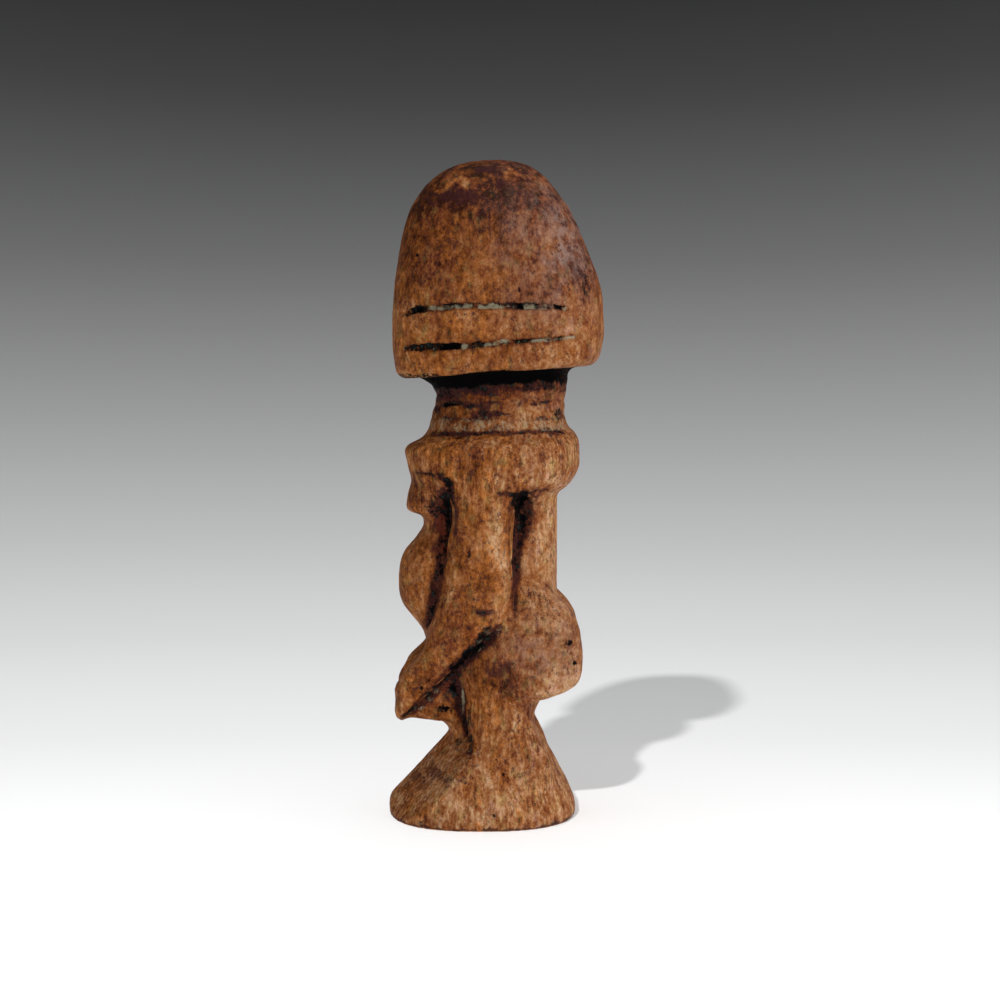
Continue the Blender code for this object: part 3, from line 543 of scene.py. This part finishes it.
def woodMaterial():
    material = bpy.data.materials.new("carved_wood_worn")
    material.use_nodes = True
    tree = material.node_tree
    nodes, links = tree.nodes, tree.links
    shader = nodes["Principled BSDF"]
    place = nodes.new("ShaderNodeTexCoord").outputs["Object"]

    def mapped(scale, shift=(0, 0, 0)):
        node = nodes.new("ShaderNodeMapping")
        node.inputs["Scale"].default_value = scale
        node.inputs["Location"].default_value = shift
        links.new(place, node.inputs["Vector"])
        return node.outputs["Vector"]

    def noiseNode(vector, scale, detail=4.0, rough=0.55, distort=0.0):
        node = nodes.new("ShaderNodeTexNoise")
        node.inputs["Scale"].default_value = scale
        node.inputs["Detail"].default_value = detail
        node.inputs["Roughness"].default_value = rough
        node.inputs["Distortion"].default_value = distort
        links.new(vector, node.inputs["Vector"])
        return node.outputs["Fac"]

    def attribute(name):
        node = nodes.new("ShaderNodeAttribute")
        node.attribute_name = name
        return node.outputs["Fac"]

    def put(socket, value):
        if isinstance(value, bpy.types.NodeSocket):
            links.new(value, socket)
        else:
            socket.default_value = value

    def math2(operation, a, b=0.0, clamp=False):
        node = nodes.new("ShaderNodeMath")
        node.operation = operation
        node.use_clamp = clamp
        put(node.inputs[0], a)
        put(node.inputs[1], b)
        return node.outputs[0]

    def spread(value, low, high, toLow=0.0, toHigh=1.0):
        node = nodes.new("ShaderNodeMapRange")
        node.interpolation_type = "SMOOTHSTEP"
        put(node.inputs["Value"], value)
        node.inputs["From Min"].default_value = low
        node.inputs["From Max"].default_value = high
        node.inputs["To Min"].default_value = toLow
        node.inputs["To Max"].default_value = toHigh
        return node.outputs["Result"]

    def blend(factor, a, b):
        node = nodes.new("ShaderNodeMix")
        node.data_type = "RGBA"
        put(node.inputs["Factor"], factor)
        put(node.inputs["A"], a)
        put(node.inputs["B"], b)
        return node.outputs["Result"]

    def ramp(value, stops):
        node = nodes.new("ShaderNodeValToRGB")
        node.color_ramp.interpolation = "LINEAR"
        first, last = stops[0], stops[-1]
        node.color_ramp.elements[0].position, node.color_ramp.elements[0].color = first
        node.color_ramp.elements[1].position, node.color_ramp.elements[1].color = last
        for position, colour in stops[1:-1]:
            node.color_ramp.elements.new(position).color = colour
        links.new(value, node.inputs["Fac"])
        return node.outputs["Color"]

    streaks = noiseNode(mapped((1, 1, 0.17)), wood["streaksPerMetre"], 3.0, 0.6)
    slow = noiseNode(mapped((1, 1, 0.30)), 420.0, 3.0, 0.55)
    mottle = noiseNode(mapped((1, 1, 0.8)), 260.0, 4.0, 0.6, 0.6)
    speck = noiseNode(mapped((1, 1, 0.8)), wood["speckPerMetre"], 3.0, 0.75)
    speckWide = noiseNode(mapped((1, 1, 0.8), (3, 1, 2)), wood["speckPerMetre"] * 0.5, 3.0, 0.7)

    fine = noiseNode(mapped((1, 1, 0.8), (2, 2, 2)), 3400.0, 2.0, 0.7)

    def swing(value, amount):
        return math2("MULTIPLY", math2("SUBTRACT", value, 0.5), amount)

    # How light the wood is at a point.
    tone = attribute("tone")
    tone = math2("ADD", tone, math2("MULTIPLY", swing(streaks, 1.15), attribute("grainy")))
    tone = math2("ADD", tone, swing(slow, 0.45))
    tone = math2("ADD", tone, swing(mottle, 0.65))
    tone = math2("ADD", tone, swing(speck, 1.0))
    tone = math2("ADD", tone, swing(speckWide, 1.0))
    tone = math2("ADD", tone, swing(fine, 0.45))
    tone = math2("ADD", tone, math2("MULTIPLY", attribute("worn"), 0.16))
    # Painted shade: the wood is painted darker in hollows.
    tone = math2("SUBTRACT", tone, math2("MULTIPLY", attribute("hollow"), 0.22), True)
    colour = ramp(tone, ((0.0, wood["black"]), (0.13, wood["dark"]), (0.33, wood["red"]), (0.52, wood["mid"]),
                         (0.74, wood["tan"]), (1.0, wood["pale"])))

    # The wood's hue drifts between orange, rose and olive.
    drift = noiseNode(mapped((1, 1, 0.6), (4, 4, 1)), 330.0, 3.0, 0.6, 0.4)
    driftFine = noiseNode(mapped((1, 1, 0.7), (2, 6, 8)), 1150.0, 2.0, 0.6)
    hue = math2("ADD", swing(drift, 1.35), swing(driftFine, 0.9))
    hue = math2("SUBTRACT", math2("ADD", hue, 0.06), math2("MULTIPLY", attribute("warm"), 0.30))
    value = nodes.new("ShaderNodeRGBToBW")
    links.new(colour, value.inputs["Color"])
    lightness = math2("MULTIPLY", value.outputs["Val"], 6.5)

    def tinted(name):
        node = nodes.new("ShaderNodeVectorMath")
        node.operation = "SCALE"
        node.inputs[0].default_value = wood[name][:3]
        links.new(lightness, node.inputs["Scale"])
        return node.outputs["Vector"]

    colour = blend(spread(hue, 0.05, 0.45, 0.0, 0.75), colour, tinted("rose"))
    colour = blend(spread(hue, -0.05, -0.40, 0.0, 0.65), colour, tinted("orange"))
    oliveNoise = noiseNode(mapped((1, 1, 0.6), (9, 3, 6)), 800.0, 2.0, 0.6)
    colour = blend(spread(oliveNoise, 0.52, 0.71, 0.0, 0.62), colour, tinted("olive"))

    # Painted sheen laid over the wood.
    paintedSheen = math2("MULTIPLY", attribute("paintedSheen"), spread(speckWide, 0.36, 0.60, 0.15, 1.0), True)
    colour = blend(paintedSheen, colour, wood["sheenHighlightColour"])
    stain = noiseNode(mapped((1, 1, 0.7), (7, 2, 5)), 300.0, 4.0, 0.62, 0.8)
    stainFine = noiseNode(mapped((1, 1, 0.8), (1, 9, 4)), 1900.0, 3.0, 0.75)
    stained = math2("MULTIPLY", spread(stain, 0.40, 0.62, 0.15, 1.0), spread(stainFine, 0.47, 0.66))
    colour = blend(math2("MULTIPLY", stained, 0.85), colour, wood["purple"])
    named = math2("MULTIPLY", attribute("stain"), 1.2)
    named = math2("ADD", named, math2("ADD", swing(speckWide, 1.7), swing(stainFine, 1.6)))
    named = spread(named, 0.30, 1.05)
    colour = blend(math2("MULTIPLY", named, 0.85), colour, wood["stain"])

    pore = nodes.new("ShaderNodeTexVoronoi")
    pore.inputs["Scale"].default_value = wood["poresPerMetre"]
    links.new(mapped((1, 1, 0.30)), pore.inputs["Vector"])
    pores = spread(pore.outputs["Distance"], 0.17, 0.06)
    colour = blend(math2("MULTIPLY", pores, 0.5), colour, wood["dark"])

    # Grime with painted shade, and dust with painted light, with edges broken up finer than the mesh.
    grit = noiseNode(mapped((1, 1, 0.9), (5, 5, 5)), 2300.0, 2.0, 0.6)
    redness = math2("MULTIPLY", attribute("redness"), spread(speckWide, 0.42, 0.62), True)
    colour = blend(math2("MULTIPLY", redness, 0.85), colour, wood["ember"])
    gritWide = noiseNode(mapped((1, 1, 0.9), (8, 8, 8)), 1300.0, 2.0, 0.65)
    grimeAndShade = math2("ADD", attribute("grimeAndShade"), math2("ADD", swing(grit, 1.5), swing(gritWide, 1.1)))
    grimeAndShade = spread(grimeAndShade, 0.28, 0.78)
    grimeShadeTint = ramp(gritWide, ((0.36, wood["grimeShadeBrown"]), (0.46, wood["grimeShadeBlack"]), (0.56, wood["grimeShadeBlack"]),
                                (0.68, wood["grimeShadeTeal"])))
    colour = blend(grimeAndShade, colour, grimeShadeTint)
    dustAndPaintedLight = math2("ADD", attribute("dustAndPaintedLight"), math2("ADD", swing(speck, 1.1), swing(grit, 0.6)))
    dustAndPaintedLight = spread(dustAndPaintedLight, 0.32, 0.85)
    colour = blend(math2("MULTIPLY", dustAndPaintedLight, 0.85), colour, wood["dustAndLightColour"])
    pitchAndShadow = spread(math2("ADD", attribute("pitchAndShadow"), swing(grit, 0.8)), 0.30, 0.75)
    colour = blend(pitchAndShadow, colour, wood["pitchAndShadow"])
    links.new(colour, shader.inputs["Base Color"])

    rough = math2("ADD", wood["roughness"], math2("MULTIPLY", grimeAndShade, 0.35))
    rough = math2("ADD", rough, swing(speckWide, 0.30))
    rough = math2("ADD", rough, math2("MULTIPLY", dustAndPaintedLight, 0.25))
    rough = math2("SUBTRACT", rough, math2("MULTIPLY", attribute("worn"), 0.10), True)
    links.new(rough, shader.inputs["Roughness"])
    shader.inputs["Specular IOR Level"].default_value = wood["specular"]

    height = math2("ADD", math2("MULTIPLY", streaks, 0.8), math2("MULTIPLY", speck, 0.5))
    height = math2("SUBTRACT", height, math2("MULTIPLY", pores, 0.5))
    bump = nodes.new("ShaderNodeBump")
    bump.inputs["Strength"].default_value = wood["bumpStrength"]
    bump.inputs["Distance"].default_value = wood["bumpDepth"]
    links.new(height, bump.inputs["Height"])
    links.new(bump.outputs["Normal"], shader.inputs["Normal"])
    return material


print("carving the figure")
carved = carvedCopy(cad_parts["divination_figure"])
gaps = carve(carved)
print("carved", len(carved.data.vertices), "vertices", len(carved.data.polygons), "faces")
paint(carved, gaps)
carved.data.materials.clear()
carved.data.materials.append(woodMaterial())
for face in carved.data.polygons:
    face.use_smooth = True
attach(carved, "root")
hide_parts("divination_figure")


studio = {
    "flat": 0.35,        # m, where the pale floor starts to curve up
    "wall": 1.5,         # m, how far away it stands upright
    "wallHeight": 0.55,  # m
    # How pale the floor is at each distance in metres from where the shades start: a painted falloff of light,
    # paler near the figure and darker far away.
    "shades": ((0.0, 0.92), (0.04, 0.89), (0.11, 0.73), (0.24, 0.59), (0.44, 0.48), (0.80, 0.31), (1.18, 0.138),
               (1.45, 0.049), (1.58, 0.023)),
    # Lamps: place, size, watts and, where it isn't the figure, what they aim at.
    "key": ((0.34, 0.70, 0.62), 0.80, 5.75),
    "fill": ((0.85, 0.00, 0.45), 0.90, 1.8),
    "top": ((-0.05, 0.0, 1.00), 1.00, 3.4),
    "floorLight": ((0.0, 0.0, 1.60), 2.20, 12.6, (0, 0, 0)),
    "shadowFall": (-123, 42.3, -100),
    "shadowStrength": 2.25,
    "shadowSoftness": 2.2,  # degrees
    "shadeCentre": 0.6,  # m, how far before the figure the shades of the floor are centred
    "shadeStart": 0.05,  # m, how far before the figure they start
    "shadeReach": 2.0,   # m, over which the shades are spread
    "sky": 0.12,
    "skyColour": (0.9, 0.95, 1.0, 1),
    "flatSteps": 4,
    "bendSteps": 16,
    "turnSteps": 96,
}

shot = {
    "place": (0.2871, 0.0027, 0.0693),
    "aim": (0, 0.0027, 0.04845),
    "lens": 67.43,  # mm
    "film": 36,     # mm
    "nearest": 0.01,
}


def floorSweep():
    sweep = bmesh.new()
    bend = studio["wall"] - studio["flat"]
    flatSteps, bendSteps = studio["flatSteps"], studio["bendSteps"]
    profile = [(0, 0)] + [(studio["flat"] * k / flatSteps, 0) for k in range(1, flatSteps + 1)]
    for k in range(1, bendSteps + 1):
        angle = math.pi / 2 * k / bendSteps
        profile.append((studio["flat"] + bend * math.sin(angle), studio["wallHeight"] * (1 - math.cos(angle))))
    corners = [sweep.verts.new((along, 0, up)) for along, up in profile]
    edges = [sweep.edges.new(pair) for pair in zip(corners, corners[1:])]
    bmesh.ops.spin(sweep, geom=corners + edges, axis=(0, 0, 1), cent=(0, 0, 0), steps=studio["turnSteps"],
                   angle=2 * math.pi, use_merge=True)
    bmesh.ops.remove_doubles(sweep, verts=sweep.verts, dist=1e-6)
    bmesh.ops.recalc_face_normals(sweep, faces=sweep.faces)
    mesh = bpy.data.meshes.new("floor")
    sweep.to_mesh(mesh)
    sweep.free()
    for face in mesh.polygons:
        face.use_smooth = True
    floor = bpy.data.objects.new("floor", mesh)
    bpy.context.scene.collection.objects.link(floor)
    material = bpy.data.materials.new("pale_floor")
    material.use_nodes = True
    nodes, links = material.node_tree.nodes, material.node_tree.links
    shader = nodes["Principled BSDF"]
    shader.inputs["Roughness"].default_value = 0.95
    shader.inputs["Specular IOR Level"].default_value = 0.0
    # The floor's colour is painted darker with distance from near the figure, a painted falloff of light.
    place = nodes.new("ShaderNodeTexCoord")
    reach = nodes.new("ShaderNodeVectorMath")
    reach.operation = "DISTANCE"
    links.new(place.outputs["Object"], reach.inputs[0])
    reach.inputs[1].default_value = (studio["shadeCentre"], 0, 0)
    behind = nodes.new("ShaderNodeMath")
    behind.operation = "SUBTRACT"
    links.new(reach.outputs["Value"], behind.inputs[0])
    behind.inputs[1].default_value = studio["shadeCentre"] - studio["shadeStart"]
    ramp = nodes.new("ShaderNodeValToRGB")
    shades = [(away / studio["shadeReach"], (pale, pale, pale, 1)) for away, pale in studio["shades"]]
    ends = ramp.color_ramp.elements
    ends[0].position, ends[0].color = shades[0]
    ends[1].position, ends[1].color = shades[-1]
    for away, pale in shades[1:-1]:
        ends.new(away).color = pale
    scaled = nodes.new("ShaderNodeMath")
    scaled.operation = "DIVIDE"
    links.new(behind.outputs[0], scaled.inputs[0])
    scaled.inputs[1].default_value = studio["shadeReach"]
    links.new(scaled.outputs[0], ramp.inputs["Fac"])
    links.new(ramp.outputs["Color"], shader.inputs["Base Color"])
    mesh.materials.append(material)
    return floor


def areaLight(name, place, size, watts, aim=(0, 0, 0.05)):
    light = bpy.data.lights.new(name, "AREA")
    light.shape = "DISK"
    light.size = size
    light.energy = watts
    lamp = bpy.data.objects.new(name, light)
    lamp.location = place
    lamp.rotation_euler = (Vector(aim) - Vector(place)).to_track_quat("-Z", "Y").to_euler()
    lamp.visible_camera = False
    bpy.context.scene.collection.objects.link(lamp)
    return lamp


def lightOnly(lamp, target, blocker=None):
    only = bpy.data.collections.new(lamp.name + "_target")
    only.objects.link(target)
    lamp.light_linking.receiver_collection = only
    if blocker:
        shadows = bpy.data.collections.new(lamp.name + "_blocker")
        shadows.objects.link(blocker)
        lamp.light_linking.blocker_collection = shadows


print("setting the stage")
floor = floorSweep()
for name in ("key", "fill"):
    lightOnly(areaLight(name + "_light", *studio[name]), carved)
areaLight("top_light", *studio["top"])
lightOnly(areaLight("floor_light", *studio["floorLight"]), floor, floor)

sun = bpy.data.lights.new("shadow_light", "SUN")
sun.energy = studio["shadowStrength"]
sun.angle = math.radians(studio["shadowSoftness"])
sunLamp = bpy.data.objects.new("shadow_light", sun)
sunLamp.rotation_euler = Vector(studio["shadowFall"]).to_track_quat("-Z", "Y").to_euler()
bpy.context.scene.collection.objects.link(sunLamp)
lightOnly(sunLamp, floor, carved)

world = bpy.data.worlds.new("studio")
world.use_nodes = True
world.node_tree.nodes["Background"].inputs["Color"].default_value = studio["skyColour"]
world.node_tree.nodes["Background"].inputs["Strength"].default_value = studio["sky"]
bpy.context.scene.world = world
bpy.context.scene.view_settings.view_transform = "Standard"

lens = bpy.data.cameras.new("camera")
lens.lens = shot["lens"]
lens.sensor_width = shot["film"]
lens.clip_start = shot["nearest"]
camera = bpy.data.objects.new("camera", lens)
camera.location = shot["place"]
camera.rotation_euler = (Vector(shot["aim"]) - camera.location).to_track_quat("-Z", "Y").to_euler()
bpy.context.scene.collection.objects.link(camera)
bpy.context.scene.camera = camera

bpy.context.view_layer.update()
